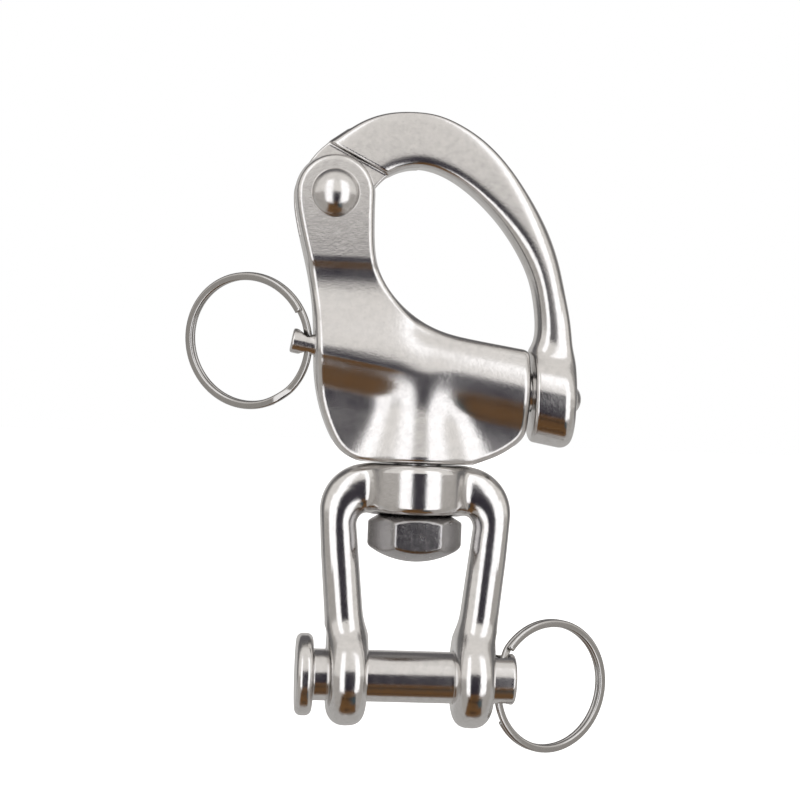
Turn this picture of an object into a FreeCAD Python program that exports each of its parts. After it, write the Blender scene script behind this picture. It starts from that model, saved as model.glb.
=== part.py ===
import FreeCAD, Part
import math
import os

# Snap shackle with a swivel fork (jaw), all sizes in millimetres.
#
# Frame: +Z runs along the swivel axis, from the fork up to the bail.
# X is the clevis pin's axis, and -Y is the front, where the rivet's dome is seen.
# The origin is the middle of the clevis pin, halfway between the two eyes.

V = FreeCAD.Vector

# ---------------------------------------------------------------- driving dimensions
# plunger line: a sloping line in the XZ plane, measured along u from its crossing with Z
PL_Z0 = 64.3                  # height at which the plunger line crosses the swivel axis
PL_TILT = 10.0                # its slope, down to the right, degrees
PL_STROKE = 11.3              # pull that frees the bail
PL_R = 3.80                   # guide and nose radius
PL_BORE_R = 3.86              # bore in the barrel
PL_STEM_R = 2.55              # stem radius
PL_STEM_BORE_R = 2.61
PL_U_TIP = 34.4               # end of the nose
PL_U_SHOULDER = 3.8           # where the guide starts and the spring bears
PL_U_WALL = -18.2             # inner face of the barrel's closed end
PL_U_TAIL = -27.5             # end of the stem
PL_U_HOLE = -24.1             # cross-hole for the pull ring
PL_HOLE_R = 1.75
PL_HOLE_TILT = 8.0            # the hole leans, top towards the front, degrees

# body
BARREL_R = 8.4
BOSS_R = 10.0                 # swivel boss
WEB_HALF = 5.0                # half thickness of the web
WAIST_HALF = 5.1
LUG_HALF = 6.3                # half thickness over the fork's lugs
LUG_R = 8.3
SLOT_HALF = 3.15
SLOT_FLOOR = 8.5              # below the rivet's centre
RIVET_X, RIVET_Z = -19.4, 99.4
RIVET_R = 3.0
RIVET_HEAD_R = 5.3
RIVET_HEAD_H = 3.2
BODY_Z0 = 44.6                # underside of the swivel boss

# bail
BAIL_HALF = 4.5
TONGUE_HALF = 2.9
TONGUE_R = 7.9
TONGUE_STEP = 8.85            # distance of the tongue's shoulder from the rivet
TONGUE_STEP_ANG = 64.0
BAIL_BOSS_R = 8.6
BAIL_BOSS_DROP = 1.6          # the boss is a little longer than wide
BAIL_BOSS_X0, BAIL_BOSS_X1 = 23.0, 32.2
BAIL_SOCKET_R = 4.0

# swivel fork
HUB_R = 10.2
HUB_Z0, HUB_Z1 = 34.1, 44.3
HUB_BORE_R = 5.05
EAR_R = 10.4
EAR_IN, EAR_OUT = 9.0, 17.45
EAR_BORE_R = 5.43
LEG_TOP_X, LEG_TOP_Z = 16.1, 34.4
LEG_TOP_R, LEG_LOW_R = 3.85, 4.2
LEG_LOW_X, LEG_LOW_Z = 13.25, 4.0
LEG_BEND_R = 5.9

# swivel bolt
BOLT_AF = 17.4
BOLT_SHANK_R = 5.0
BOLT_THREAD_R = 4.0
BOLT_THREAD_L = 11.0
BOLT_HEAD_TOP = 33.8

# clevis pin
PIN_R = 5.35
PIN_X0, PIN_X1 = -20.2, 22.1
PIN_HEAD_R, PIN_HEAD_T = 8.5, 3.5
PIN_HOLE_X = 19.3
PIN_HOLE_R = 2.1

# split rings, two turns of half-round wire side by side
RING_RO = 14.15                # clevis ring
PULL_RING_RO = 14.4
RING_W = 1.4                  # radial width of the wire
RING_T = 1.05                 # thickness of one turn
PULL_RING_YAW = 25.5          # how far the pull ring hangs back from the front plane
PULL_RING_LOW = 0.6           # its centre hangs this much lower, along the hole's direction
CLEVIS_RING_YAW = 25.0
CLEVIS_RING_OUT = 12.32       # from the hole's axis to the ring's centre
CLEVIS_RING_LOW = 1.9         # and below the pin's axis

# plunger spring
SPRING_WIRE = 0.8
SPRING_R = 3.25               # mean coil radius
SPRING_TURNS = 9.0

os.makedirs("parts", exist_ok=True)


# ---------------------------------------------------------------- helpers
def cyl(r, p, d, h):
    return Part.makeCylinder(r, h, p, d)


def box(x0, x1, y0, y1, z0, z1):
    return Part.makeBox(x1 - x0, y1 - y0, z1 - z0, V(x0, y0, z0))


def p2(x, z):
    return V(x, 0, z)


def spline(pts, t0=None, t1=None):
    c = Part.BSplineCurve()
    vs = [p2(*p) for p in pts]
    if t0 is not None:
        c.interpolate(Points=vs, InitialTangent=V(t0[0], 0, t0[1]), FinalTangent=V(t1[0], 0, t1[1]))
    else:
        c.interpolate(vs)
    return c.toShape()


def line(a, b):
    return Part.LineSegment(p2(*a), p2(*b)).toShape()


def arc(a, m, b):
    return Part.Arc(p2(*a), p2(*m), p2(*b)).toShape()


def slab(edges, half):
    f = Part.Face(Part.Wire(edges))
    s = f.extrude(V(0, 2 * half, 0))
    s.translate(V(0, -half, 0))
    return s


def solid_of(shape):
    s = shape.removeSplitter() if hasattr(shape, "removeSplitter") else shape
    if len(s.Solids) == 1:
        return s.Solids[0]
    return s


def rev_x(pts, x_at):
    """Solid of revolution about X from (x, r) points."""
    vs = [V(x, 0, r) for x, r in pts]
    w = Part.makePolygon(vs + [vs[0]])
    return Part.Face(w).revolve(V(x_at, 0, 0), V(1, 0, 0), 360)


def save(name, shape):
    shape = solid_of(shape)
    ok = shape.isValid() and len(shape.Solids) == 1
    bb = shape.optimalBoundingBox(False)
    print("%-16s solids %d valid %s vol %8.1f  x %.1f..%.1f y %.1f..%.1f z %.1f..%.1f" % (
        name, len(shape.Solids), ok, shape.Volume, bb.XMin, bb.XMax, bb.YMin, bb.YMax, bb.ZMin, bb.ZMax))
    shape.exportStep("parts/%s.step" % name)
    return shape


tilt = math.radians(PL_TILT)
PD = V(math.cos(tilt), 0, -math.sin(tilt))         # along the plunger, towards the nose
PUP = V(math.sin(tilt), 0, math.cos(tilt))         # across it, upwards
P0 = V(0, 0, PL_Z0)


def at_u(u, up=0.0):
    return P0 + PD * u + PUP * up


# ---------------------------------------------------------------- body
def body_outline():
    rl, rr = RIVET_X - LUG_R, RIVET_X + LUG_R
    e = []
    e.append(spline([(rr, RIVET_Z), (-11.1, 96.6), (-11.0, 92.4), (-9.9, 84.6), (-7.3, 79.9), (-3.0, 75.6), (1.2, 73.0),
                     (5.4, 71.5), (9.6, 70.6), (15.8, 69.5), (20.5, 68.7)]))
    e.append(arc((20.5, 68.7), (21.75, 68.2), (22.2, 67.0)))
    e.append(line((22.2, 67.0), (22.2, 53.4)))
    e.append(spline([(22.2, 53.4), (22.05, 52.2), (21.4, 50.6), (19.8, 48.6), (16.0, 46.2), (12.8, 45.1), (11.0, BODY_Z0)]))
    e.append(line((11.0, BODY_Z0), (-10.9, BODY_Z0)))
    e.append(spline([(-10.9, BODY_Z0), (-12.3, 44.75), (-14.0, 45.45), (-16.3, 47.3), (-18.5, 50.6), (-20.3, 55.0), (-21.7, 61.1),
                     (-22.3, 67.3), (-22.6, 73.5), (-23.3, 79.0), (-24.5, 84.6), (-25.9, 89.8), (-26.95, 94.0),
                     (-27.55, 97.2), (rl, RIVET_Z)]))
    e.append(arc((rl, RIVET_Z), (RIVET_X, RIVET_Z + LUG_R), (rr, RIVET_Z)))
    return e


outline = slab(body_outline(), 14)
# what fills the outline from front to back: barrel, swivel boss, web, waist and lugs
barrel = cyl(BARREL_R, at_u(-40), PD, 80)
boss = cyl(BOSS_R, V(0, 0, BODY_Z0), V(0, 0, 1), 15.0)
web = box(-40, 40, -WEB_HALF, WEB_HALF, 40, 90)
lugs = box(-40, 0, -LUG_HALF, LUG_HALF, 84.0, 120)
# the lug's face runs back to the waist, and the waist runs out to the barrel
ramp_pts = [(LUG_HALF, 84.2), (WAIST_HALF, 80.6), (WAIST_HALF, 79.0), (7.9, 70.0), (7.9, 62.0)]
w = Part.makePolygon([V(-40, -y, z) for y, z in ramp_pts] + [V(-40, y, z) for y, z in reversed(ramp_pts)] + [V(-40, -LUG_HALF, 84.2)])
ramp = Part.Face(w).extrude(V(40.5, 0, 0))
ramp = ramp.common(box(-40, -2.0, -12, 12, 60, 90))
fill = barrel.multiFuse([boss, web, lugs, ramp])
body = outline.common(fill)
# slot for the bail's tongue
slot = box(-40, 5, -SLOT_HALF, SLOT_HALF, RIVET_Z - SLOT_FLOOR, 120)
body = body.cut(slot)
# rivet hole: the rivet fills it
body = body.cut(cyl(RIVET_R, V(RIVET_X, -20, RIVET_Z), V(0, 1, 0), 40))
# barrel bore, open at the nose end, and the small hole for the stem
body = body.cut(cyl(PL_BORE_R, at_u(PL_U_WALL), PD, 60))
body = body.cut(cyl(PL_STEM_BORE_R, at_u(-40), PD, 40))
# tapped hole for the swivel bolt
body = body.cut(cyl(BOLT_THREAD_R, V(0, 0, BODY_Z0 - 5), V(0, 0, 1), 5 + BOLT_THREAD_L + 0.6))
body = save("shackle_body", body)

# ---------------------------------------------------------------- bail
bail_outer = [(-20.9, 110.1), (-19.8, 110.9), (-14.2, 114.7), (-8.6, 116.9), (-4.0, 117.5), (1.1, 117.1), (6.4, 115.2),
              (11.6, 112.0), (16.3, 107.6), (21.1, 101.5), (25.4, 94.2), (28.1, 86.9), (29.7, 80.5), (30.4, 75.0),
              (31.0, 70.0), (31.9, 65.5)]
bail_inner = [(-10.9, 101.6), (-8.7, 103.8), (-5.9, 105.2), (-2.4, 105.7), (1.6, 104.9), (6.2, 102.7), (10.9, 99.1),
              (15.1, 94.7), (19.3, 88.6), (21.8, 83.4), (23.2, 77.3), (23.55, 72.5), (23.2, 69.0), (23.0, 65.5)]
edges = [spline(bail_outer), line(bail_outer[-1], bail_inner[-1]), spline(list(reversed(bail_inner))),
         line(bail_inner[0], (-19.4, 99.4)), line((-19.4, 99.4), (-27.0, 101.5)),
         spline([(-27.0, 101.5), (-25.0, 105.6), (-20.9, 110.1)])]
hoop = slab(edges, BAIL_HALF)
# the hoop's long edges are rounded
long_edges = []
for ed in hoop.Edges:
    ys = [vx.Point.y for vx in ed.Vertexes]
    if ed.Length > 40 and abs(ys[0] - ys[-1]) < 1e-6:
        long_edges.append(ed)
hoop = hoop.makeFillet(2.2, long_edges)
# socket boss, a little longer than wide, between two upright faces
ax_b = [at_u(10), at_u(10, -BAIL_BOSS_DROP)]
bb = cyl(BAIL_BOSS_R, ax_b[0], PD, 40).fuse(cyl(BAIL_BOSS_R, ax_b[1], PD, 40))
mid = Part.makePolygon([at_u(10, 0) + V(0, -BAIL_BOSS_R, 0), at_u(10, 0) + V(0, BAIL_BOSS_R, 0),
                        at_u(10, -BAIL_BOSS_DROP) + V(0, BAIL_BOSS_R, 0), at_u(10, -BAIL_BOSS_DROP) + V(0, -BAIL_BOSS_R, 0),
                        at_u(10, 0) + V(0, -BAIL_BOSS_R, 0)])
bb = bb.fuse(Part.Face(mid).extrude(PD * 40))
bb = bb.common(box(BAIL_BOSS_X0, BAIL_BOSS_X1, -20, 20, 30, 90))
bail = hoop.fuse(bb)
# the tongue: thin round the rivet, up to the straight shoulder
a = math.radians(TONGUE_STEP_ANG)
nrm = V(math.cos(a), 0, math.sin(a))
tan = V(-math.sin(a), 0, math.cos(a))
c0 = V(RIVET_X, 0, RIVET_Z)
for sgn in (-1, 1):
    q = [c0 + nrm * TONGUE_STEP + tan * 30, c0 + nrm * TONGUE_STEP - tan * 30, c0 - nrm * 30 - tan * 30, c0 - nrm * 30 + tan * 30]
    cut = Part.Face(Part.makePolygon(q + [q[0]])).extrude(V(0, 20, 0))
    cut.translate(V(0, TONGUE_HALF if sgn > 0 else -20 - TONGUE_HALF, 0))
    bail = bail.cut(cut)
disc = cyl(TONGUE_R, V(RIVET_X, -TONGUE_HALF, RIVET_Z), V(0, 1, 0), 2 * TONGUE_HALF)
bail = bail.fuse(disc)
bail = bail.cut(cyl(RIVET_R + 0.05, V(RIVET_X, -20, RIVET_Z), V(0, 1, 0), 40))
bail = bail.cut(cyl(BAIL_SOCKET_R, at_u(15), PD, 30))
bail = save("bail", bail)

# ---------------------------------------------------------------- hinge rivet, a domed head on each side
cap_r = (RIVET_HEAD_R ** 2 + RIVET_HEAD_H ** 2) / (2 * RIVET_HEAD_H)
rivet = cyl(RIVET_R, V(RIVET_X, -LUG_HALF, RIVET_Z), V(0, 1, 0), 2 * LUG_HALF)
for sgn in (-1, 1):
    ball = Part.makeSphere(cap_r, V(RIVET_X, sgn * (LUG_HALF + RIVET_HEAD_H - cap_r), RIVET_Z))
    if sgn > 0:
        keep = cyl(RIVET_HEAD_R + 1, V(RIVET_X, LUG_HALF, RIVET_Z), V(0, 1, 0), 10)
    else:
        keep = cyl(RIVET_HEAD_R + 1, V(RIVET_X, -LUG_HALF, RIVET_Z), V(0, -1, 0), 10)
    rivet = rivet.fuse(ball.common(keep))
rivet = save("hinge_rivet", rivet)

# ---------------------------------------------------------------- plunger
pl = cyl(PL_R, at_u(PL_U_SHOULDER), PD, PL_U_TIP - 1.0 - PL_U_SHOULDER)
pl = pl.fuse(Part.makeCone(PL_R, PL_R - 0.95, 1.0, at_u(PL_U_TIP - 1.0), PD))
pl = pl.fuse(cyl(PL_STEM_R, at_u(PL_U_TAIL + 0.4), PD, PL_U_SHOULDER - PL_U_TAIL - 0.4))
pl = pl.fuse(Part.makeCone(PL_STEM_R - 0.4, PL_STEM_R, 0.4, at_u(PL_U_TAIL), PD))
hb = math.radians(PL_HOLE_TILT)
HT = V(0, -math.sin(hb), math.cos(hb))
pl = pl.cut(cyl(PL_HOLE_R, at_u(PL_U_HOLE) - HT * 8, HT, 16))
pl = save("plunger", pl)

# ---------------------------------------------------------------- plunger spring
length = PL_U_SHOULDER - PL_U_WALL - 0.1
pitch = (length - SPRING_WIRE) / SPRING_TURNS
helix = Part.makeHelix(pitch, length - SPRING_WIRE, SPRING_R)
prof = Part.Wire([Part.Circle(V(SPRING_R, 0, 0), V(0, 1, 0), SPRING_WIRE / 2.0).toShape()])
spring = Part.Wire(helix.Edges).makePipeShell([prof], True, True)
if spring.Volume < 0:
    spring.reverse()
spring = Part.Solid(spring.Shells[0]) if spring.ShapeType != "Solid" else spring
spring.rotate(V(0, 0, 0), V(0, 1, 0), 90 + PL_TILT)
spring.translate(at_u(PL_U_WALL + 0.05 + SPRING_WIRE / 2.0))
spring = save("plunger_spring", spring)


# ---------------------------------------------------------------- split rings
def split_ring(centre, radial, along, ro):
    """Two turns side by side. radial points from the ring's centre to the hole, along is the wire's direction there."""
    n = radial.cross(along)
    ri, h, g = ro - RING_W, RING_T, 0.22
    c = 0.25
    pts = [(ri, -h + c), (ri + c, -h), (ro - c, -h), (ro, -h + c), (ro, -g), (ro - g, 0), (ro, g), (ro, h - c), (ro - c, h),
           (ri + c, h), (ri, h - c), (ri, g), (ri + g, 0), (ri, -g)]
    vs = [V(r, 0, z) for r, z in pts]
    ring = Part.Face(Part.makePolygon(vs + [vs[0]])).revolve(V(0, 0, 0), V(0, 0, 1), 360)
    m = FreeCAD.Matrix(radial.x, along.x, n.x, centre.x, radial.y, along.y, n.y, centre.y, radial.z, along.z, n.z, centre.z, 0, 0, 0, 1)
    ring.Placement = FreeCAD.Placement(m)
    return ring


# pull ring: hangs back to the left from the stem's cross-hole
ps = math.radians(PULL_RING_YAW)
left = V(-1, 0, 0)
back = HT.cross(left)
if back.y < 0:
    back = back * -1.0
r_out = left * math.cos(ps) + back * math.sin(ps)         # from the hole to the ring's centre
r_out.normalize()
PULL_OFF = PULL_RING_RO - 0.82
pull_c = at_u(PL_U_HOLE) + r_out * PULL_OFF - HT * PULL_RING_LOW
pull = save("pull_ring", split_ring(pull_c, r_out * -1.0, HT, PULL_RING_RO))

# clevis ring: hangs back to the right from the clevis pin's cross-hole
pc = math.radians(CLEVIS_RING_YAW)
c_out = V(math.cos(pc), math.sin(pc), 0)
clevis_c = V(PIN_HOLE_X, 0, -CLEVIS_RING_LOW) + c_out * CLEVIS_RING_OUT
cring = save("clevis_ring", split_ring(clevis_c, c_out * -1.0, V(0, 0, 1), RING_RO))

# ---------------------------------------------------------------- swivel fork
hub = cyl(HUB_R, V(0, 0, HUB_Z0), V(0, 0, 1), HUB_Z1 - HUB_Z0)
hub = hub.makeFillet(0.9, [ed for ed in hub.Edges if ed.Length > 40 and len(ed.Vertexes) == 1])
# the hub runs out to the legs on both sides, with a flat underside
arm_l = LEG_TOP_X - LEG_TOP_R + 0.3
arm_r = LEG_TOP_R
arm = cyl(arm_r, V(-arm_l, 0, HUB_Z0 + arm_r), V(1, 0, 0), 2 * arm_l)
arm = arm.fuse(box(-arm_l, arm_l, -arm_r, arm_r, HUB_Z0 + arm_r, LEG_TOP_Z + LEG_BEND_R))
jaw = hub.fuse(arm)
for sgn in (-1, 1):
    bx = LEG_TOP_X - LEG_BEND_R
    start = V(0, 0, LEG_TOP_Z + LEG_BEND_R)
    k = math.radians(45)
    e1 = Part.LineSegment(start, V(sgn * bx, 0, LEG_TOP_Z + LEG_BEND_R)).toShape()
    e2 = Part.Arc(V(sgn * bx, 0, LEG_TOP_Z + LEG_BEND_R),
                  V(sgn * (bx + LEG_BEND_R * math.sin(k)), 0, LEG_TOP_Z + LEG_BEND_R * math.cos(k)),
                  V(sgn * LEG_TOP_X, 0, LEG_TOP_Z)).toShape()
    path = Part.Wire([e1, e2])
    sec = Part.Wire([Part.Circle(start, V(1, 0, 0), LEG_TOP_R).toShape()])
    bend = path.makePipeShell([sec], True, True)
    d = V(sgn * (LEG_LOW_X - LEG_TOP_X), 0, LEG_LOW_Z - LEG_TOP_Z)
    leg = Part.makeCone(LEG_TOP_R, LEG_LOW_R, d.Length, V(sgn * LEG_TOP_X, 0, LEG_TOP_Z), d)
    joint = Part.makeSphere(LEG_TOP_R, V(sgn * LEG_TOP_X, 0, LEG_TOP_Z))
    ear = cyl(EAR_R, V(sgn * EAR_IN, 0, 0), V(sgn, 0, 0), EAR_OUT - EAR_IN)
    outer = [ed for ed in ear.Edges if len(ed.Vertexes) == 1 and ed.Length > 40 and abs(ed.Vertexes[0].Point.x) > EAR_OUT - 0.1]
    ear = ear.makeFillet(3.4, outer)
    inner = [ed for ed in ear.Edges if len(ed.Vertexes) == 1 and ed.Length > 60 and abs(ed.Vertexes[0].Point.x) < EAR_IN + 0.1]
    ear = ear.makeFillet(1.8, inner)
    jaw = jaw.multiFuse([bend, joint, leg, ear])
# nothing stands in the 18 mm gap, and the hub's bore is clear
jaw = jaw.cut(cyl(HUB_BORE_R, V(0, 0, 30), V(0, 0, 1), 30))
jaw = jaw.cut(cyl(EAR_BORE_R, V(-30, 0, 0), V(1, 0, 0), 60))
jaw = jaw.cut(box(-EAR_IN, EAR_IN, -12, 12, -12, 30))
jaw = save("swivel_jaw", jaw)

# ---------------------------------------------------------------- swivel bolt
prof = [(0, 23.9), (3.0, 24.15), (5.4, 24.75), (7.5, 25.7), (10.2, 27.2), (10.2, 32.1), (8.0, 33.4), (8.0, BOLT_HEAD_TOP), (0, BOLT_HEAD_TOP)]
turn = Part.Face(Part.makePolygon([V(r, 0, z) for r, z in prof] + [V(0, 0, 23.9)])).revolve(V(0, 0, 0), V(0, 0, 1), 360)
rc = BOLT_AF / 2.0 / math.cos(math.radians(30))
hexw = Part.makePolygon([V(rc * math.cos(math.radians(60 * i)), rc * math.sin(math.radians(60 * i)), 20) for i in range(7)])
hexp = Part.Face(hexw).extrude(V(0, 0, 20))
bolt = turn.common(hexp)
bolt = bolt.fuse(cyl(BOLT_SHANK_R, V(0, 0, BOLT_HEAD_TOP), V(0, 0, 1), BODY_Z0 - BOLT_HEAD_TOP))
bolt = bolt.fuse(cyl(BOLT_THREAD_R, V(0, 0, BODY_Z0), V(0, 0, 1), BOLT_THREAD_L))
bolt = save("swivel_bolt", bolt)

# ---------------------------------------------------------------- clevis pin
h = PIN_HEAD_T
pts = [(PIN_X0 - h, 0), (PIN_X0 - h, PIN_HEAD_R - 1.0), (PIN_X0 - h + 0.35, PIN_HEAD_R - 0.35), (PIN_X0 - h + 1.0, PIN_HEAD_R),
       (PIN_X0 - 1.0, PIN_HEAD_R), (PIN_X0 - 0.3, PIN_HEAD_R - 0.3), (PIN_X0, PIN_HEAD_R - 1.0), (PIN_X0, PIN_R),
       (PIN_X1 - 0.8, PIN_R), (PIN_X1, PIN_R - 0.8), (PIN_X1, 0)]
pin = rev_x(pts, 0)
pin = pin.cut(cyl(PIN_HOLE_R, V(PIN_HOLE_X, 0, -10), V(0, 0, 1), 20))
pin = save("clevis_pin", pin)

print("plunger dir", tuple(round(v, 6) for v in PD), "hole at", tuple(round(v, 5) for v in at_u(PL_U_HOLE)), "hole dir", tuple(round(v, 6) for v in HT))
print("pull ring centre", tuple(round(v, 4) for v in pull_c), "clevis ring centre", tuple(round(v, 4) for v in clevis_c))
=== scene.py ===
import math

import bpy
import numpy as np
from mathutils import Matrix, Vector


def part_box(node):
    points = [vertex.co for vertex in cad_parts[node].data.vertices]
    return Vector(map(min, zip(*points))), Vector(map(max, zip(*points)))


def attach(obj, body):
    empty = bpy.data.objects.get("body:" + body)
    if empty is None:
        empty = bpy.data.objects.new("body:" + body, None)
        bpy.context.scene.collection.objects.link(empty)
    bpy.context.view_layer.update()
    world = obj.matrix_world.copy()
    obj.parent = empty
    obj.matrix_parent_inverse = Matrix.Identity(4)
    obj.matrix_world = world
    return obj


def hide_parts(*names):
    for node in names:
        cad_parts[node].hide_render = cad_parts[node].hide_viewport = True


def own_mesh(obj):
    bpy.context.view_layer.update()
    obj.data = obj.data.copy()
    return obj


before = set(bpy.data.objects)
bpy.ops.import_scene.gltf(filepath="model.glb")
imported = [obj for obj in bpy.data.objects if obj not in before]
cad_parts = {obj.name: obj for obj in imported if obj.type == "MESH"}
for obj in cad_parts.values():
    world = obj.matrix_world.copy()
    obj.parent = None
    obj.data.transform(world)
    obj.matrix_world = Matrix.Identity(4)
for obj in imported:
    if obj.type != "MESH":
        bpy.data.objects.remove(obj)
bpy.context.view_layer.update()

MM = 0.001

# ------------------------------------------------------------------ sizes, mm
TILT = math.radians(10.0)
PDX, PDZ = math.cos(TILT), -math.sin(TILT)      # along the plunger, towards the nose
PUX, PUZ = math.sin(TILT), math.cos(TILT)       # across it, upwards
PZ0 = 64.3
RIVET_X, RIVET_Z = -19.4, 99.4


def at_u(u, up=0.0):
    return np.array([PDX * u + PUX * up, 0.0, PZ0 + PDZ * u + PUZ * up])


# ------------------------------------------------------------------ camera
ROLL = math.radians(2.2)
CAM_AZ, CAM_EL, CAM_D = math.radians(-5.0), math.radians(0.0), 0.400
target = Vector((-4.1, 0.0, 57.5)) * MM
back = Vector((math.sin(CAM_AZ) * math.cos(CAM_EL), -math.cos(CAM_AZ) * math.cos(CAM_EL), math.sin(CAM_EL)))
right = Vector((math.cos(CAM_AZ), math.sin(CAM_AZ), 0.0))
up = back.cross(right)
r2 = right * math.cos(ROLL) + up * math.sin(ROLL)
u2 = up * math.cos(ROLL) - right * math.sin(ROLL)
cam_data = bpy.data.cameras.new("camera")
cam_data.sensor_width = 36.0
cam_data.lens = 36.0 * 400.0 / (800 * 0.2081)
cam_data.clip_start, cam_data.clip_end = 0.02, 20.0
cam = bpy.data.objects.new("camera", cam_data)
bpy.context.collection.objects.link(cam)
cam.matrix_world = Matrix(((r2.x, u2.x, back.x, 0), (r2.y, u2.y, back.y, 0), (r2.z, u2.z, back.z, 0), (0, 0, 0, 1)))
cam.location = target + back * CAM_D
bpy.context.scene.camera = cam
bpy.context.scene.view_settings.view_transform = "Standard"


# ------------------------------------------------------------------ distance-field tools
def spline2(pts, step=0.25):
    """A natural cubic through the points, by chord length, sampled every step."""
    P = np.array(pts, float)
    d = np.r_[0, np.cumsum(np.hypot(*np.diff(P, axis=0).T))]
    n, h = len(P), np.diff(d)
    A, B = np.zeros((n, n)), np.zeros((n, 2))
    A[0, 0] = A[-1, -1] = 1
    for i in range(1, n - 1):
        A[i, i - 1], A[i, i], A[i, i + 1] = h[i - 1], 2 * (h[i - 1] + h[i]), h[i]
        B[i] = 6 * ((P[i + 1] - P[i]) / h[i] - (P[i] - P[i - 1]) / h[i - 1])
    M = np.linalg.solve(A, B)
    s = np.r_[np.arange(0, d[-1], step), d[-1]]
    i = np.clip(np.searchsorted(d, s, side="right") - 1, 0, n - 2)
    hh, a, b = h[i][:, None], (d[i + 1] - s)[:, None], (s - d[i])[:, None]
    return M[i] * a ** 3 / (6 * hh) + M[i + 1] * b ** 3 / (6 * hh) + (P[i] / hh - M[i] * hh / 6) * a + (P[i + 1] / hh - M[i + 1] * hh / 6) * b


def arc2(c, r, a0, a1, n=40):
    t = np.radians(np.linspace(a0, a1, n))
    return np.c_[c[0] + r * np.cos(t), c[1] + r * np.sin(t)]


def dedupe(P, tol=0.02):
    keep = [0]
    for i in range(1, len(P)):
        if np.hypot(*(P[i] - P[keep[-1]])) > tol:
            keep.append(i)
    if np.hypot(*(P[keep[-1]] - P[0])) < tol:
        keep.pop()
    return P[keep]


def blur(F, sg):
    r = int(math.ceil(3 * sg))
    k = np.exp(-0.5 * (np.arange(-r, r + 1) / sg) ** 2)
    k /= k.sum()
    for ax in (0, 1):
        G = np.pad(F, [(r, r) if a == ax else (0, 0) for a in (0, 1)], mode="edge")
        F = sum(w * (G[i:i + F.shape[0], :] if ax == 0 else G[:, i:i + F.shape[1]]) for i, w in enumerate(k))
    return F


class Field2:
    """Signed distance to a closed outline in the XZ plane, on a fine grid, read back smoothly."""

    def __init__(self, poly, g=0.15, soft=0.2, pad=5.0):
        poly = dedupe(np.array(poly, float))
        self.g, self.lo = g, poly.min(0) - pad
        n = np.ceil((poly.max(0) + pad - self.lo) / g).astype(int) + 1
        x = (self.lo[0] + g * np.arange(n[0]))[:, None]
        z = (self.lo[1] + g * np.arange(n[1]))[None, :]
        best = np.full((n[0], n[1]), 1e9)
        inside = np.zeros((n[0], n[1]), bool)
        for a, b in zip(poly, np.roll(poly, -1, axis=0)):
            d = b - a
            t = np.clip(((x - a[0]) * d[0] + (z - a[1]) * d[1]) / (d @ d), 0, 1)
            np.minimum(best, (x - a[0] - t * d[0]) ** 2 + (z - a[1] - t * d[1]) ** 2, out=best)
            if a[1] != b[1]:
                rows = np.nonzero((a[1] <= z[0]) != (b[1] <= z[0]))[0]
                if len(rows):
                    xi = a[0] + (z[0, rows] - a[1]) * d[0] / d[1]
                    inside[:, rows] ^= x < xi[None, :]
        self.F = blur(np.where(inside, -1.0, 1.0) * np.sqrt(best), soft / g)

    def __call__(self, x, z):
        u, v = (x - self.lo[0]) / self.g, (z - self.lo[1]) / self.g
        nu, nv = self.F.shape
        u, v = np.clip(u, 1.001, nu - 2.001), np.clip(v, 1.001, nv - 2.001)
        iu, iv = np.floor(u).astype(int), np.floor(v).astype(int)
        fu, fv = u - iu, v - iv

        def w(t):
            return ((1 - t) ** 3 / 6, (3 * t ** 3 - 6 * t ** 2 + 4) / 6, (-3 * t ** 3 + 3 * t ** 2 + 3 * t + 1) / 6, t ** 3 / 6)
        wu, wv = w(fu), w(fv)
        out = 0
        for i in range(4):
            for j in range(4):
                out = out + wu[i] * wv[j] * self.F[iu + i - 1, iv + j - 1]
        return out


def smin(a, b, k):
    h = np.maximum(k - np.abs(a - b), 0) / k
    return np.minimum(a, b) - h ** 3 * k / 6


def smax(a, b, k):
    return -smin(-a, -b, k)


def rmax(a, b, r):
    """Intersection with a round edge of radius r."""
    return np.minimum(np.maximum(a, b), -r) + np.hypot(np.maximum(a + r, 0), np.maximum(b + r, 0))


def rmin(a, b, r):
    """Union with a round fillet of radius r."""
    return np.maximum(np.minimum(a, b), r) - np.hypot(np.maximum(r - a, 0), np.maximum(r - b, 0))


def sstep(x, a, b):
    t = np.clip((x - a) / (b - a), 0, 1)
    return t * t * t * (t * (6 * t - 15) + 10)


def grad(f, P, e):
    x, y, z = P.T
    return np.stack([f(x + e, y, z) - f(x - e, y, z), f(x, y + e, z) - f(x, y - e, z), f(x, y, z + e) - f(x, y, z - e)], 1) / (2 * e)


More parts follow.
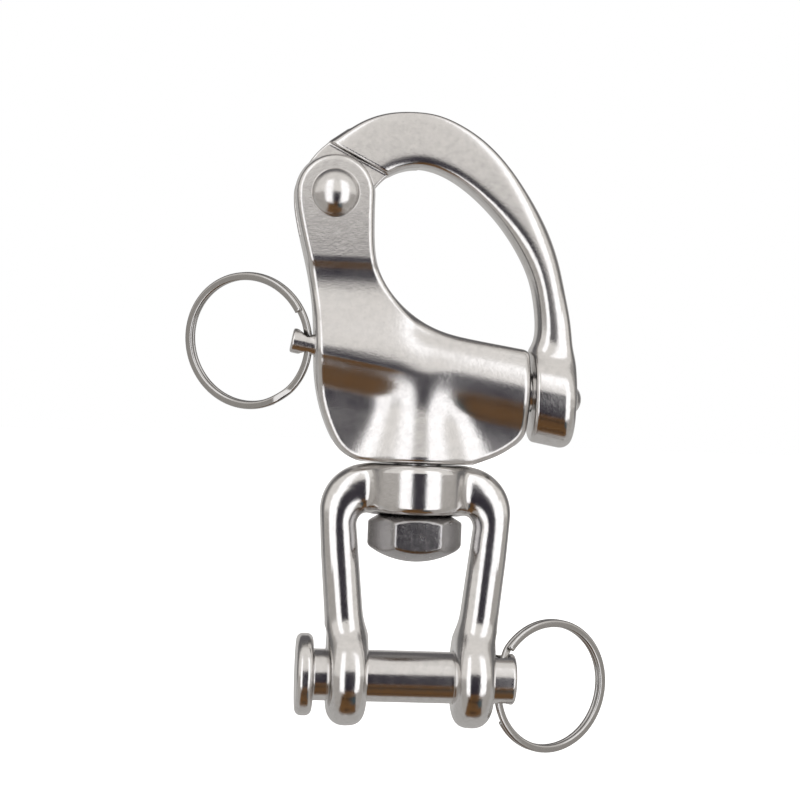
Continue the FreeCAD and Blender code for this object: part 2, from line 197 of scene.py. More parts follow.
def nets(f, lo, hi, h, relax=3):
    """Quads on the surface f = 0, by surface nets, then every vertex put on the surface itself."""
    lo, hi = np.array(lo, float), np.array(hi, float)
    n = np.ceil((hi - lo) / h).astype(int) + 1
    ax = [lo[i] + h * np.arange(n[i]) for i in range(3)]
    F = np.zeros(tuple(n)) + f(ax[0][:, None, None], ax[1][None, :, None], ax[2][None, None, :])
    S = F < 0
    cnt = np.zeros(tuple(n - 1), np.int8)
    offs = [(a, b, c) for a in (0, 1) for b in (0, 1) for c in (0, 1)]
    for a, b, c in offs:
        cnt += S[a:n[0] - 1 + a, b:n[1] - 1 + b, c:n[2] - 1 + c]
    act = (cnt > 0) & (cnt < 8)
    idx = np.full(act.shape, -1)
    I, J, K = np.nonzero(act)
    idx[act] = np.arange(len(I))
    vals = np.stack([F[I + a, J + b, K + c] for a, b, c in offs], 1)
    P, C = np.zeros((len(I), 3)), np.zeros(len(I))
    for p in range(8):
        for q in range(p + 1, 8):
            if sum(abs(offs[p][i] - offs[q][i]) for i in range(3)) != 1:
                continue
            fa, fb = vals[:, p], vals[:, q]
            cross = (fa < 0) != (fb < 0)
            t = np.where(cross, fa / np.where(cross, fa - fb, 1), 0)
            P += (np.array(offs[p]) + (np.array(offs[q]) - np.array(offs[p])) * t[:, None]) * cross[:, None]
            C += cross
    P = lo + h * (P / C[:, None] + np.stack([I, J, K], 1))
    quads = []
    s0, s1 = S[:-1, 1:-1, 1:-1], S[1:, 1:-1, 1:-1]
    i, j, k = np.nonzero(s0 != s1)
    q = np.stack([idx[i, j, k], idx[i, j + 1, k], idx[i, j + 1, k + 1], idx[i, j, k + 1]], 1)
    quads.append(np.where(s0[i, j, k][:, None], q, q[:, ::-1]))
    s0, s1 = S[1:-1, :-1, 1:-1], S[1:-1, 1:, 1:-1]
    i, j, k = np.nonzero(s0 != s1)
    q = np.stack([idx[i, j, k], idx[i + 1, j, k], idx[i + 1, j, k + 1], idx[i, j, k + 1]], 1)
    quads.append(np.where(s0[i, j, k][:, None], q[:, ::-1], q))
    s0, s1 = S[1:-1, 1:-1, :-1], S[1:-1, 1:-1, 1:]
    i, j, k = np.nonzero(s0 != s1)
    q = np.stack([idx[i, j, k], idx[i + 1, j, k], idx[i + 1, j + 1, k], idx[i, j + 1, k]], 1)
    quads.append(np.where(s0[i, j, k][:, None], q, q[:, ::-1]))
    Q = np.concatenate(quads)

    def project(P, times):
        for _ in range(times):
            v, g = f(*P.T), grad(f, P, 0.02)
            g2 = np.maximum((g * g).sum(1), 0.05)
            step = np.clip(v / g2, -h, h)[:, None] * g
            P = P - step
        return P

    P = project(P, 2)
    for _ in range(relax):
        A, N = np.zeros_like(P), np.zeros(len(P))
        for c in range(4):
            for o in (1, 3):
                N += np.bincount(Q[:, c], minlength=len(P))
                for d in range(3):
                    A[:, d] += np.bincount(Q[:, c], weights=P[Q[:, (c + o) % 4], d], minlength=len(P))
        A = A / N[:, None] - P
        g = grad(f, P, 0.03)
        g /= np.maximum(np.linalg.norm(g, axis=1), 1e-6)[:, None]
        P = project(P + 0.6 * (A - (A * g).sum(1)[:, None] * g), 1)
    P = project(P, 2)
    G = grad(f, P, 0.04)
    G /= np.maximum(np.linalg.norm(G, axis=1), 1e-6)[:, None]
    return P, Q, G


def make(name, P, Q, N=None, mats=(), body=None, replaces=(), box=None):
    """A Blender object from points in mm, quads and, if given, its surface normals."""
    if box is not None:
        lo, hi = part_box(box)
        lo, hi = np.array(lo) / MM, np.array(hi) / MM
        out = max((lo - P.min(0)).max(), (P.max(0) - hi).max())
        print("%-16s %6d quads, x %.2f..%.2f y %.2f..%.2f z %.2f..%.2f, past the CAD box %.3f" % (
            name, len(Q), P[:, 0].min(), P[:, 0].max(), P[:, 1].min(), P[:, 1].max(), P[:, 2].min(), P[:, 2].max(), out))
        P = np.clip(P, lo, hi)
    me = bpy.data.meshes.new(name)
    me.vertices.add(len(P))
    me.vertices.foreach_set("co", (P * MM).astype(np.float32).ravel())
    k = Q.shape[1]
    me.loops.add(Q.size)
    me.loops.foreach_set("vertex_index", Q.astype(np.int32).ravel())
    me.polygons.add(len(Q))
    me.polygons.foreach_set("loop_start", np.arange(0, Q.size, k, dtype=np.int32))
    me.polygons.foreach_set("use_smooth", np.ones(len(Q), bool))
    me.update(calc_edges=True)
    me.validate()
    if N is not None:
        me.normals_split_custom_set_from_vertices(N.astype(np.float32))
    ob = bpy.data.objects.new(name, me)
    bpy.context.collection.objects.link(ob)
    for m in mats:
        me.materials.append(m)
    if body:
        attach(ob, body)
    if replaces:
        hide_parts(*replaces)
    return ob


# ------------------------------------------------------------------ node helpers
class Nodes:
    def __init__(self, tree):
        self.t = tree
        tree.nodes.clear()

    def add(self, kind, **kw):
        n = self.t.nodes.new(kind)
        for k, v in kw.items():
            setattr(n, k, v)
        return n

    def put(self, sock, v):
        if isinstance(v, bpy.types.NodeSocket):
            self.t.links.new(v, sock)
        elif v is not None:
            sock.default_value = v

    def m(self, op, a, b=None, c=None, clamp=False):
        n = self.add("ShaderNodeMath", operation=op, use_clamp=clamp)
        for s, v in zip(n.inputs, (a, b, c)):
            self.put(s, v)
        return n.outputs[0]

    def ramp(self, x, a, b, lo=0.0, hi=1.0, kind="SMOOTHSTEP"):
        n = self.add("ShaderNodeMapRange", interpolation_type=kind)
        for s, v in zip(n.inputs, (x, a, b, lo, hi)):
            self.put(s, v)
        return n.outputs[0]

    def band(self, x, a, b, w):
        """1 between a and b, fading over w outside."""
        return self.m("MULTIPLY", self.ramp(x, a - w, a + w), self.ramp(x, b - w, b + w, 1.0, 0.0))

    def mix(self, f, a, b, kind="MIX"):
        n = self.add("ShaderNodeMix", data_type="RGBA", blend_type=kind)
        self.put(n.inputs[0], f)
        self.put(n.inputs[6], a)
        self.put(n.inputs[7], b)
        return n.outputs[2]

    def noise(self, vec, scale, detail=2.0, rough=0.5, out=0, dist=0.0):
        n = self.add("ShaderNodeTexNoise")
        self.put(n.inputs["Vector"], vec)
        n.inputs["Scale"].default_value = scale
        n.inputs["Detail"].default_value = detail
        n.inputs["Roughness"].default_value = rough
        n.inputs["Distortion"].default_value = dist
        return n.outputs[out]


# ------------------------------------------------------------------ world: a soft studio, darker where the shooting place is
world = bpy.data.worlds.new("studio")
bpy.context.scene.world = world
world.use_nodes = True
W = Nodes(world.node_tree)
tc = W.add("ShaderNodeTexCoord")
sep = W.add("ShaderNodeSeparateXYZ")
W.put(sep.inputs[0], tc.outputs["Generated"])
dx, dy, dz = sep.outputs
ny = W.m("MULTIPLY", dy, -1.0)
DEG = 180 / math.pi
az = W.m("MULTIPLY", W.m("ARCTAN2", dx, ny), DEG)
el = W.m("MULTIPLY", W.m("ARCSINE", dz), DEG)
th = W.m("MULTIPLY", W.m("ARCTAN2", dz, ny), DEG)
aaz = W.m("ABSOLUTE", az)
col = W.mix(1.0, (0.42, 0.40, 0.38, 1), (0.42, 0.40, 0.38, 1))
# dark corners, lighter again behind
col = W.mix(W.ramp(aaz, 98, 110), col, (0.17, 0.165, 0.165, 1))
col = W.mix(W.ramp(aaz, 130, 144), col, (0.55, 0.54, 0.53, 1))
# a bright ceiling over the front
col = W.mix(W.band(th, 2, 86, 3), col, (0.80, 0.775, 0.75, 1))
# a dark strip overhead and grey past it
col = W.mix(W.m("MULTIPLY", W.band(th, 94, 146, 4), W.band(W.m("ABSOLUTE", dx), -1, 0.72, 0.1)), col, (0.13, 0.125, 0.13, 1))
# light grey ground
col = W.mix(W.m("MULTIPLY", W.band(th, -180, -95, 4), W.ramp(dz, -0.1, -0.25)), col, (0.46, 0.45, 0.44, 1))
# brown and teal things below
brown = W.m("MULTIPLY", W.band(th, -92, -26, 3), W.band(W.m("ABSOLUTE", dx), -1, 0.42, 0.06))
patch = W.ramp(W.noise(tc.outputs["Generated"], 3.4, 2.0), 0.32, 0.46)
col = W.mix(brown, col, W.mix(patch, (0.020, 0.016, 0.014, 1), (0.15, 0.078, 0.032, 1)))
teal = W.m("MULTIPLY", W.band(th, -64, -42, 4), W.band(dx, 0.18, 0.42, 0.05))
col = W.mix(teal, col, (0.055, 0.085, 0.10, 1))
bg = W.add("ShaderNodeBackground")
W.put(bg.inputs[0], col)
bg.inputs[1].default_value = 1.0
white = W.add("ShaderNodeBackground")
white.inputs[0].default_value = (1, 1, 1, 1)
white.inputs[1].default_value = 1.0
lp = W.add("ShaderNodeLightPath")
mx = W.add("ShaderNodeMixShader")
W.put(mx.inputs[0], lp.outputs["Is Camera Ray"])
W.put(mx.inputs[1], bg.outputs[0])
W.put(mx.inputs[2], white.outputs[0])
wo = W.add("ShaderNodeOutputWorld")
W.put(wo.inputs[0], mx.outputs[0])


# ------------------------------------------------------------------ materials
def steel(name, base=(0.80, 0.785, 0.77), rough=(0.10, 0.20), peel=0.9, peel_scale=1600.0, wave=0.35, lines=None, spots=0.5):
    """Polished stainless steel: slight colour mottling, uneven gloss, fine orange peel, tiny pits and, if asked, turning lines."""
    mat = bpy.data.materials.new(name)
    mat.use_nodes = True
    T = Nodes(mat.node_tree)
    co = T.add("ShaderNodeTexCoord").outputs["Object"]
    big = T.noise(co, 160.0, 2.0)
    mid = T.noise(co, 700.0, 4.0, 0.62)
    fine = T.noise(co, peel_scale, 2.0, 0.55)
    tiny = T.noise(co, 5200.0, 1.0)
    p = T.add("ShaderNodeBsdfPrincipled")
    p.inputs["Metallic"].default_value = 1.0
    b2 = tuple(c * 0.93 for c in base)
    c0 = T.mix(T.ramp(mid, 0.35, 0.7), (*base, 1), (*b2, 1))
    c0 = T.mix(T.ramp(T.noise(co, 2400.0, 1.0), 0.66, 0.74, 0.0, 0.35 * spots), c0, (0.42, 0.40, 0.38, 1))
    T.put(p.inputs["Base Color"], c0)
    r = T.ramp(T.m("ADD", T.m("MULTIPLY", mid, 0.6), T.m("MULTIPLY", big, 0.4)), 0.3, 0.7, rough[0], rough[1], "LINEAR")
    T.put(p.inputs["Roughness"], r)
    hgt = T.m("ADD", T.m("MULTIPLY", fine, 0.5 * peel), T.m("MULTIPLY", tiny, 0.34 * peel))
    hgt = T.m("ADD", hgt, T.m("MULTIPLY", T.noise(co, 300.0, 1.0), 1.6 * wave))
    if lines:
        sx = T.add("ShaderNodeSeparateXYZ")
        T.put(sx.inputs[0], co)
        cx = T.add("ShaderNodeCombineXYZ")
        T.put(cx.inputs[lines[0]], sx.outputs[lines[0]])
        hgt = T.m("ADD", hgt, T.m("MULTIPLY", T.noise(cx.outputs[0], lines[1], 4.0, 0.8), lines[2]))
    bump = T.add("ShaderNodeBump")
    bump.inputs["Strength"].default_value = 1.0
    bump.inputs["Distance"].default_value = 0.00002
    T.put(bump.inputs["Height"], hgt)
    T.put(p.inputs["Normal"], bump.outputs[0])
    o = T.add("ShaderNodeOutputMaterial")
    T.put(o.inputs[0], p.outputs[0])
    return mat


m_body = steel("cast_body", rough=(0.19, 0.27), peel=1.7)
m_bail = steel("cast_bail", rough=(0.15, 0.22), peel=1.3)
m_fork = steel("cast_fork", rough=(0.13, 0.20), peel=1.2)
m_bolt = steel("bolt_steel", base=(0.52, 0.51, 0.51), rough=(0.18, 0.30), peel=3.5, wave=2.2, spots=1.0)
m_turn = steel("turned_steel", rough=(0.15, 0.25), peel=1.3, wave=0.3, lines=(0, 4200.0, 0.25))
m_rivet = steel("rivet_steel", rough=(0.16, 0.25), peel=1.2, wave=0.4)
m_wire = steel("wire_steel", base=(0.58, 0.57, 0.555), rough=(0.10, 0.20), peel=0.4, wave=0.3, spots=0.2)

# ------------------------------------------------------------------ body
rl, rr = RIVET_X - 8.3, RIVET_X + 8.3
out = np.concatenate([
    spline2([(rr, RIVET_Z), (-11.1, 96.6), (-11.0, 92.4), (-9.9, 84.6), (-7.3, 79.9), (-3.0, 75.6), (1.2, 73.0),
             (5.4, 71.5), (9.6, 70.65), (15.8, 69.7), (20.5, 69.0)]),
    arc2((20.5, 67.3), 1.7, 85, 0, 12),
    spline2([(22.2, 53.4), (22.05, 52.2), (21.4, 50.6), (19.6, 48.8), (15.7, 46.4), (12.5, 45.15), (11.0, 44.6)]),
    spline2([(-10.9, 44.6), (-12.4, 44.7), (-14.2, 45.3), (-16.6, 47.1), (-18.8, 50.5), (-20.6, 55.0), (-21.95, 61.1),
             (-22.3, 67.3), (-22.7, 73.5), (-23.45, 79.0), (-24.65, 84.6), (-26.0, 89.8), (-27.0, 94.0), (-27.55, 97.2),
             (rl, RIVET_Z)]),
    arc2((RIVET_X, RIVET_Z), 8.3, 180, 0, 80)])
body_out = Field2(out)

HZ = np.array([40.0, 65.0, 68.0, 70.5, 73.0, 75.5, 77.7, 79.6, 81.2, 82.3, 83.9, 85.2, 85.9, 90.0, 130.0])
HY = np.array([8.4, 8.4, 8.2, 7.6, 6.75, 5.8, 5.05, 4.55, 4.36, 4.52, 5.32, 6.08, 6.3, 6.3, 6.3])
_zz = np.linspace(40, 130, 901)
_hh = np.interp(_zz, HZ, HY)
for _ in range(2):
    _hh = np.convolve(np.pad(_hh, 4, mode="edge"), np.ones(9) / 9, mode="valid")


def f_body(x, y, z):
    w = x * PUX + (z - PZ0) * PUZ
    u = x * PDX + (z - PZ0) * PDZ
    ay = np.sqrt(y * y + 1e-9)
    barrel = np.hypot(y, w) - 8.4
    # the swivel boss grows out of the web like a funnel
    low = np.clip((62.0 - z) / 17.0, 0, 1)
    boss = smax(np.hypot(x, y) - 7.5 - 1.6 * low, z - 62.0, 3.0)
    web = ay - 5.0
    arm = (ay - np.interp(z, _zz, _hh)) * 0.93
    arm = smax(arm, np.maximum(-w - 1.0, 0) * 0.9 - 0.5 + 0 * y, 1.0)
    arm = smax(arm, (x - 1.0) * 0.5, 6.0)
    fill = smin(smin(barrel, smin(boss, web, 5.0 + 6.5 * low * low), 5.0), arm, 1.6)
    fill = smax(fill, ay - 9.9, 0.6)
    f = rmax(body_out(x, z), fill, 1.5)
    slot = smax(ay - 3.15, (RIVET_Z - 8.5) - z, 0.8)
    f = smax(f, -slot, 0.7)
    bore = np.hypot(y, w) - 3.86
    f = smax(f, -np.maximum(bore, -18.2 - u), 0.5)
    f = smax(f, -(np.hypot(y, w) - 2.61), 0.5)
    f = np.maximum(f, -(np.hypot(x - RIVET_X, z - RIVET_Z) - 3.02))
    f = np.maximum(f, -np.maximum(np.hypot(x, y) - 4.05, z - 57.0))
    return f


P, Q, N = nets(f_body, (-28.5, -10.8, 43.8), (23.0, 10.8, 108.5), 0.32)
make("shackle_body_form", P, Q, N, [m_body], "body", ["shackle_body"], "shackle_body")

# ------------------------------------------------------------------ bail
def toward(P, k, x0, x1, z0, z1):
    """Points of the hoop, drawn a little in or out from its middle where x and z are past the given fades."""
    P = np.array(P, float)
    k = 1 + k * sstep(P[:, 0], x0, x1) * sstep(P[:, 1], z0, z1)
    return np.array([-4.1, 57.3]) + (P - np.array([-4.1, 57.3])) * k[:, None]


bo = toward([(-27.0, 101.5), (-25.0, 105.6), (-20.9, 110.1), (-19.8, 110.9), (-14.2, 114.7), (-8.6, 116.9), (-4.0, 117.5), (1.1, 117.1),
             (6.4, 115.2), (11.6, 112.0), (16.3, 107.6), (21.1, 101.5), (25.4, 94.2), (28.1, 86.9), (29.7, 80.5), (30.9, 75.0),
             (31.6, 70.0), (32.4, 65.5)], -0.007, -14.0, -4.0, 84.0, 104.0)
bi = toward([(23.0, 62.0), (23.0, 65.5), (23.15, 69.0), (23.5, 72.7), (23.2, 77.3), (21.8, 83.4), (19.3, 88.6), (15.1, 94.7), (10.9, 99.1),
             (6.2, 102.7), (1.6, 104.9), (-2.4, 105.7), (-5.9, 105.1), (-8.7, 103.6), (-10.9, 101.3)], 0.006, -6.0, 4.0, 60.0, 75.0)
hoop_o = Field2(np.concatenate([spline2(bo, 0.5), [(31.4, 40.0), (-40.0, 40.0), (-40.0, 95.0)]]))
hoop_i = Field2(np.concatenate([[(23.0, 45.0)], spline2(bi, 0.5), [(-15.0, 97.2), (-15.0, 45.0)]]))
hoop_t = Field2(np.concatenate([spline2(bo, 0.5), spline2(bi, 0.5), arc2((RIVET_X, RIVET_Z), 7.85, -60, -200, 50)]))
TA = math.radians(64.0)
TNX, TNZ = math.cos(TA), math.sin(TA)


def f_bail(x, y, z):
    w = x * PUX + (z - PZ0) * PUZ
    ay = np.sqrt(y * y + 1e-9)
    do, di = hoop_o(x, z), -hoop_i(x, z)
    wide = np.maximum(-(do + di), 2.0)
    q = np.sqrt(((do - di) / wide) ** 2 + 1e-6)
    # the section grows rounder along the bar, from the crown to the neck
    t = sstep(x * 0.62 - (z - 100.0) * 0.62, -6.0, 24.0)
    n = 6.5 - 4.1 * t
    hoop = ((q ** n + (ay / 4.45) ** n) ** (1 / n) - 1) * np.minimum(wide / 2, 4.45)
    hoop = np.maximum(hoop, 60.0 - z)
    # full thickness only past the straight shoulder
    s = (x - RIVET_X) * TNX + (z - RIVET_Z) * TNZ + 1.5 * np.maximum(x + 2.0, 0)
    hoop = rmax(hoop, 8.85 - s, 0.45)
    tongue = rmax(hoop_t(x, z), ay - 2.9, 0.4)
    tongue = np.maximum(tongue, s - 13.0)
    f = smin(hoop, tongue, 0.8)
    # socket boss
    st = np.hypot(y, np.sign(w + 0.8) * np.maximum(np.abs(w + 0.8) - 0.8, 0)) - 8.55
    boss = rmax(rmax(st, x - 32.1, 2.9), 23.05 - x, 1.0)
    f = smin(f, boss, 4.5)
    f = smax(f, x - 32.15, 0.8)
    f = smax(f, 23.05 - x - 80.0 * sstep(z, 67.0, 80.0), 1.2)
    f = smax(f, -(np.hypot(y, w) - 4.0), 0.6)
    return np.maximum(f, -(np.hypot(x - RIVET_X, z - RIVET_Z) - 3.05))


P, Q, N = nets(f_bail, (-28.2, -9.4, 47.4), (33.6, 9.4, 118.4), 0.32)
make("bail_form", P, Q, N, [m_bail], "bail", ["bail"], "bail")


# ------------------------------------------------------------------ fork
def mirrored(right):
    right = np.array(right, float)
    return np.concatenate([right, (right * [-1, 1])[::-1]])


arch_o = Field2(mirrored(np.concatenate([[(16.9, -20.0), (17.35, 4.0), (19.3, 25.0)], arc2((10.2, 34.4), 9.7, -4, 90, 30)])))
arch_i = Field2(mirrored(np.concatenate([[(9.05, -20.0), (9.2, 4.0)], arc2((9.6, 31.5), 2.6, -6, 90, 14)])))


def f_fork(x, y, z):
    ax = np.sqrt(x * x + 1e-9)
    ay = np.sqrt(y * y + 1e-9)
    hub = rmax(np.hypot(x, y) - 10.2, np.abs(z - 39.2) - 5.1, 1.8)
    # hub arms and legs: an oval section that follows the arch
    do, di = arch_o(x, z), -arch_i(x, z)
    wide = np.maximum(-(do + di), 2.0)
    q = np.sqrt(((do - di) / wide) ** 2 + 1e-6)
    hy = 3.9 + 1.7 * np.clip((34.0 - z) / 30.0, 0, 1) ** 1.5
    n = 2.3 - 0.15 * sstep(z, 28.0, 36.0)
    leg = ((q ** n + (ay / hy) ** n) ** (1 / n) - 1) * np.minimum(wide / 2, hy)
    leg = smax(leg, 3.0 - z, 2.0)
    # eyes: rings with a full round rim
    rho = np.hypot(y, z)
    u, v = np.abs(ax - 13.225) / 4.2, np.maximum(rho - 5.2, 0) / 5.15
    ne = 2.3 + 0.5 * sstep(-ax, -13.2, -11.5)
    ear = ((u ** ne + v ** ne + 1e-9) ** (1 / ne) - 1) * 4.4
    f = smin(hub, leg, 2.6)
    f = smin(f, ear, 4.0)
    f = np.maximum(f, -np.maximum(ax - 9.02, np.maximum(np.abs(y) - 12, z - 30.0)))
    f = smax(f, -(rho - 5.43), 0.8)
    f = smax(f, -(np.maximum(np.hypot(x, y) - 5.05, 30.0 - z)), 0.8)
    # flat outside, clear of the clevis pin's head
    f = smax(f, ax - 17.45 - 6.0 * sstep(rho, 8.4, 15.0), 0.7)
    return smax(f, z - 44.3, 0.3)


P, Q, N = nets(f_fork, (-20.6, -11.4, -11.4), (20.6, 11.4, 45.2), 0.32)
make("swivel_fork_form", P, Q, N, [m_fork], "fork", ["swivel_jaw"], "swivel_jaw")


# ------------------------------------------------------------------ swivel bolt
def f_bolt(x, y, z):
    # six flats with slightly rounded corners
    a = ((np.abs(y) / 8.66) ** 36 + (np.abs(0.8660254 * x + 0.5 * y) / 8.66) ** 36 + (np.abs(0.8660254 * x - 0.5 * y) / 8.66) ** 36) ** (1 / 36) * 8.66
    r = np.hypot(x, y)
    head = a - 8.66
    head = rmax(head, z - 33.75, 0.3)
    head = rmax(head, (r - 8.0) * 0.5 + (z - 33.4) * 0.866, 0.3)
    head = rmax(head, np.sqrt(r * r + (z - 40.6) ** 2) - 16.6, 0.5)
    shank = np.maximum(r - 4.98, np.abs(z - 39.2) - 5.4)
    ph = np.arctan2(y, x) / (2 * np.pi)
    thread = np.maximum(r - 3.82 - 0.16 * np.cos(2 * np.pi * (z / 1.25 - ph)), np.abs(z - 49.6) - 5.7)
    return smin(np.minimum(head, thread), shank, 0.4)


P, Q, N = nets(f_bolt, (-10.6, -10.6, 23.2), (10.6, 10.6, 56.2), 0.28, relax=2)
make("swivel_bolt_form", P, Q, N, [m_bolt], "body", ["swivel_bolt"], "swivel_bolt")


# ------------------------------------------------------------------ clevis pin
def f_pin(x, y, z):
    r = np.hypot(y, z)
    shank = rmax(r - 5.35, x - 22.1, 0.8)
    shank = np.maximum(shank, -21.5 - x)
    head = rmax(r - 8.5, np.abs(x + 21.95) - 1.75, 1.35)
    f = rmin(shank, head, 0.35)
    return smax(f, -(np.hypot(x - 19.2, y) - 2.3), 0.5)


P, Q, N = nets(f_pin, (-24.4, -9.2, -9.2), (22.8, 9.2, 9.2), 0.3)
make("clevis_pin_form", P, Q, N, [m_turn], "clevis_pin", ["clevis_pin"], "clevis_pin")


# ------------------------------------------------------------------ rivet
CAPR = (5.3 ** 2 + 3.2 ** 2) / (2 * 3.2)


def f_rivet(x, y, z):
    r = np.hypot(x - RIVET_X, z - RIVET_Z)
    ay = np.sqrt(y * y + 1e-9)
    dome = np.sqrt(r * r + (ay - (6.3 + 3.2 - CAPR)) ** 2) - CAPR
    dome = rmax(rmax(dome, 6.3 - ay, 0.15), r - 5.15, 0.4)
    shaft = np.maximum(r - 3.0, ay - 6.5)
    return np.minimum(dome, shaft)


P, Q, N = nets(f_rivet, (RIVET_X - 6, -10.2, RIVET_Z - 6), (RIVET_X + 6, 10.2, RIVET_Z + 6), 0.25)
make("hinge_rivet_form", P, Q, N, [m_rivet], "body", ["hinge_rivet"], "hinge_rivet")

# ------------------------------------------------------------------ plunger
HT = (0.0, -0.139173, 0.990268)
hole = at_u(-24.1)


def f_plunger(x, y, z):
    w = x * PUX + (z - PZ0) * PUZ
    u = x * PDX + (z - PZ0) * PDZ
    r = np.hypot(y, w)
    guide = rmax(r - 3.8, 3.8 - u, 0.3)
    nose = np.sqrt(r * r + np.maximum(u - 30.7, 0) ** 2) - 3.7
    guide = np.maximum(guide, nose)
    stem = rmax(r - 2.55, -27.5 - u, 0.45)
    stem = np.maximum(stem, u - 5)
    f = np.minimum(guide, stem)
    # cross-hole
    qx, qy, qz = x - hole[0], y - hole[1], z - hole[2]
    t = qy * HT[1] + qz * HT[2]
    hr = np.sqrt(np.maximum(qx * qx + qy * qy + qz * qz - t * t, 0))
    return smax(f, -(hr - 1.85), 0.35)


P, Q, N = nets(f_plunger, (-28.2, -4.6, 56.0), (35.0, 4.6, 73.0), 0.28)
make("plunger_form", P, Q, N, [m_turn], "plunger", ["plunger"], "plunger")


# ------------------------------------------------------------------ wire pieces
def sweep(path, frames_n, frames_b, section, closed=False):
    """A tube of quads: section points (a, b) along n and b at each point of the path, with flat ends."""
    m, k = len(path), len(section)
    P = (path[:, None, :] + section[None, :, 0:1] * frames_n[:, None, :] + section[None, :, 1:2] * frames_b[:, None, :]).reshape(-1, 3)
    Q = []
    i = np.arange(m - 1)[:, None] * k
    j = np.arange(k)[None, :]
    j2 = (j + 1) % k
    Q = np.stack([i + j, i + j2, i + k + j2, i + k + j], -1).reshape(-1, 4)
    # ends: a shrunk ring and a fan of quads across it
    extra = []
    for e, rev in ((0, True), (m - 1, False)):
        base = len(P)
        c = path[e]
        ring = P[e * k:(e + 1) * k]
        tdir = (path[1] - path[0]) if e == 0 else (path[-1] - path[-2])
        tdir = tdir / np.linalg.norm(tdir)
        small = c + (ring - c) * 0.86 + tdir * (-0.07 if e == 0 else 0.07)
        P = np.concatenate([P, small])
        a = np.arange(k)
        b = (a + 1) % k
        q = np.stack([e * k + a, e * k + b, base + b, base + a], 1)
        extra.append(q[:, ::-1] if rev else q)
        half = k // 2
        s = np.arange(half - 1)
        q = np.stack([base + s, base + s + 1, base + (k - 2 - s), base + (k - 1 - s)], 1)
        extra.append(q[:, ::-1] if rev else q)
    return P, np.concatenate([Q] + extra)


def rounded_rect(w, t, r, n=4):
    pts = []
    for cx, cy, a0 in ((w / 2 - r, t / 2 - r, 0), (-w / 2 + r, t / 2 - r, 90), (-w / 2 + r, -t / 2 + r, 180), (w / 2 - r, -t / 2 + r, 270)):
        for i in range(n + 1):
            a = math.radians(a0 + 90 * i / n)
            pts.append((cx + r * math.cos(a), cy + r * math.sin(a)))
    return np.array(pts)


def split_ring(name, centre, e1, e2, R, a_start, a_jog, a_end, side, body, node, mat, box):
    """Two turns of flattened wire. e1, e2 span the ring's plane. The first turn lies on the given side, the wire steps over
    at a_jog, and its two ends are a_start and a_end, all in degrees along the wire."""
    e1, e2 = np.array(e1, float), np.array(e2, float)
    e3 = np.cross(e1, e2) * side
    T = 1.02
    deg = np.arange(a_start, a_end + 0.1, 2.0)
    a = np.radians(deg)
    s = np.clip((deg - a_jog + 9.0) / 18.0, 0, 1)
    off = T / 2 + 0.01 - (T + 0.02) * (s * s * (3 - 2 * s))
    ca, sa = np.cos(a)[:, None], np.sin(a)[:, None]
    rad = ca * e1 + sa * e2
    path = np.array(centre) + R * rad + off[:, None] * e3
    P, Q = sweep(path, rad, np.repeat(np.cross(e1, e2)[None, :], len(a), 0), rounded_rect(1.66, T, 0.47, 5))
    return make(name, P, Q, None, [mat], body, [node], box)


HTv = np.array(HT)
ps = math.radians(25.5)
left = np.array([-1.0, 0, 0])
bk = np.cross(HTv, left)
if bk[1] < 0:
    bk = -bk
r_out = left * math.cos(ps) + bk * math.sin(ps)
r_out /= np.linalg.norm(r_out)
split_ring("pull_ring_form", hole + r_out * 13.58 - HTv * 0.6, -r_out, HTv, 13.56, 32, 308, 656, 1, "pull_ring", "pull_ring", m_wire, "pull_ring")
pc = math.radians(25.0)
c_out = np.array([math.cos(pc), math.sin(pc), 0.0])
split_ring("clevis_ring_form", np.array([19.3, 0, -1.9]) + c_out * 12.32, -c_out, (0, 0, 1.0), 13.31, 38, 390, 688, -1, "clevis_ring", "clevis_ring",
           m_wire, "clevis_ring")

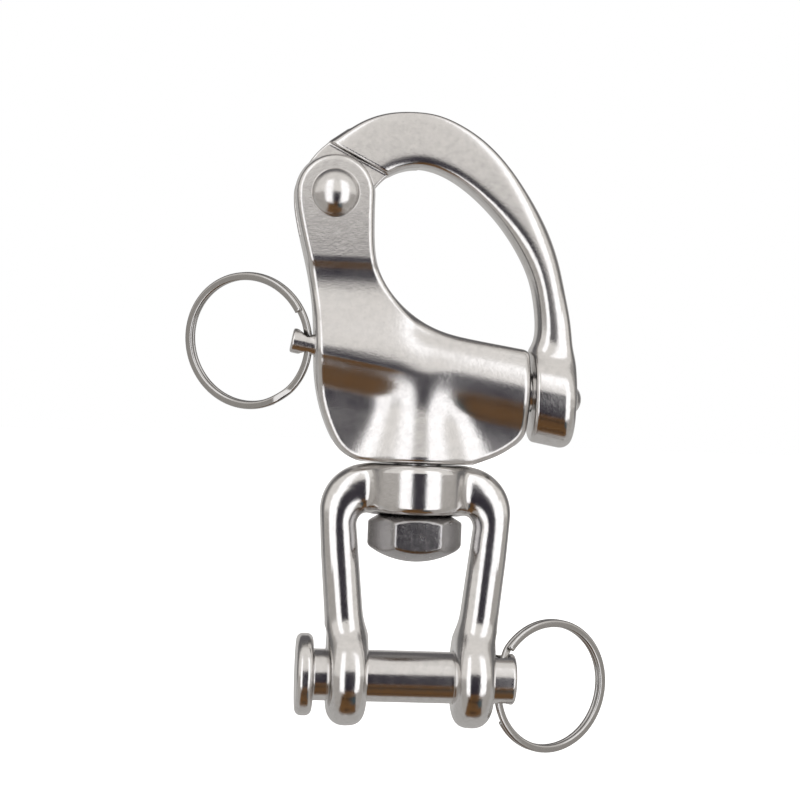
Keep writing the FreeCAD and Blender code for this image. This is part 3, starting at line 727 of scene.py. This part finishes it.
# spring
U0, U1, TURNS = -18.15, 3.75, 9.0
t = np.linspace(0, 1, 9 * 28 + 1)
ang = 2 * np.pi * TURNS * t
us = U0 + 0.42 + (U1 - U0 - 0.84) * t
ex, ez = np.array([PDX, 0, PDZ]), np.array([PUX, 0, PUZ])
ey = np.array([0, 1.0, 0])
rad = np.cos(ang)[:, None] * ez + np.sin(ang)[:, None] * ey
path = np.array([0, 0, PZ0]) + us[:, None] * ex + 3.25 * rad
tang = np.gradient(path, axis=0)
tang /= np.linalg.norm(tang, axis=1)[:, None]
nb = np.cross(tang, rad)
circ = np.array([(0.4 * math.cos(2 * math.pi * i / 12), 0.4 * math.sin(2 * math.pi * i / 12)) for i in range(12)])
P, Q = sweep(path, rad, nb, circ)
sp = make("plunger_spring_form", P, Q, None, [m_wire], "body", ["plunger_spring"], "plunger_spring")
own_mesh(sp)

# ------------------------------------------------------------------ floor and lights
fm = bpy.data.materials.new("floor_white")
fm.use_nodes = True
T = Nodes(fm.node_tree)
d = T.add("ShaderNodeBsdfDiffuse")
d.inputs[0].default_value = (0.9, 0.9, 0.9, 1)
e = T.add("ShaderNodeEmission")
e.inputs[0].default_value = (1, 1, 1, 1)
e.inputs[1].default_value = 0.90
a = T.add("ShaderNodeAddShader")
T.put(a.inputs[0], d.outputs[0])
T.put(a.inputs[1], e.outputs[0])
o = T.add("ShaderNodeOutputMaterial")
T.put(o.inputs[0], a.outputs[0])
me = bpy.data.meshes.new("floor")
S = 3.0
me.from_pydata([(-S, -S, -0.0179), (S, -S, -0.0179), (S, S, -0.0179), (-S, S, -0.0179)], [], [(0, 1, 2, 3)])
floor = bpy.data.objects.new("floor", me)
bpy.context.collection.objects.link(floor)
me.materials.append(fm)
floor.visible_glossy = False


def board(name, x0, x1, z0, z1, colour):
    """An upright board by the shooting place, only seen in reflections."""
    m = bpy.data.materials.new(name)
    m.use_nodes = True
    T = Nodes(m.node_tree)
    e = T.add("ShaderNodeEmission")
    e.inputs[0].default_value = (*colour, 1)
    T.put(T.add("ShaderNodeOutputMaterial").inputs[0], e.outputs[0])
    me = bpy.data.meshes.new(name)
    me.from_pydata([(x0, -0.41, z0), (x1, -0.41, z0), (x1, -0.41, z1), (x0, -0.41, z1)], [], [(0, 1, 2, 3)])
    ob = bpy.data.objects.new(name, me)
    bpy.context.collection.objects.link(ob)
    me.materials.append(m)
    ob.visible_camera = ob.visible_diffuse = ob.visible_shadow = ob.visible_transmission = False


board("board_left", -0.39, -0.108, -0.28, 0.62, (1.40, 1.39, 1.41))
board("board_right", 0.135, 0.56, -0.28, 0.62, (1.40, 1.39, 1.41))
board("board_dark", -0.108, 0.135, -0.23, 0.117, (0.026, 0.022, 0.032))
